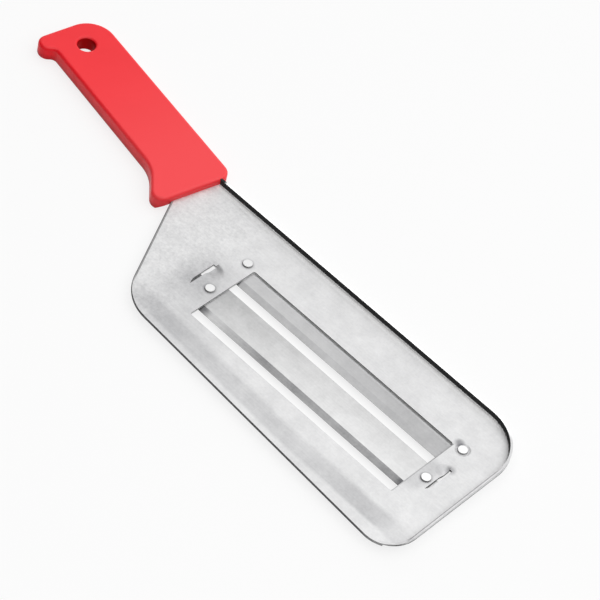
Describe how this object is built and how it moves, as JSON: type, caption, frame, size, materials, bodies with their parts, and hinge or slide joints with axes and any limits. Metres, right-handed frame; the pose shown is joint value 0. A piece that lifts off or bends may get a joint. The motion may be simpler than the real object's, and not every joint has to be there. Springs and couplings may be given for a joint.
{
  "type": "hand-held vegetable slicer",
  "caption": "Flat steel slicing plate with riveted blades set one behind the other across a long window, an upturned rim, and a moulded handle with a finger guard and hanging hole.",
  "frame": {"origin": "centre of the handle's hanging hole, halfway through the plate's thickness", "axes": "+X along the plate to its tip, +Y across the plate to its spine, +Z along the hanging hole to the side the slices leave by"},
  "size_m": [0.2864, 0.107, 0.0074],
  "materials": {
    "plate_steel": "satin, faintly mottled",
    "blade_steel": "ground",
    "rivet_steel": "polished",
    "red_plastic": "satin"
  },
  "bodies": {
    "root": {"slicer_plate": "plate_steel", "front_blade": "blade_steel", "rear_blade": "blade_steel", "rivet_front_heel": "rivet_steel", "rivet_front_toe": "rivet_steel", "rivet_rear_heel": "rivet_steel", "rivet_rear_toe": "rivet_steel", "handle": "red_plastic"}
  },
  "joints": []
}
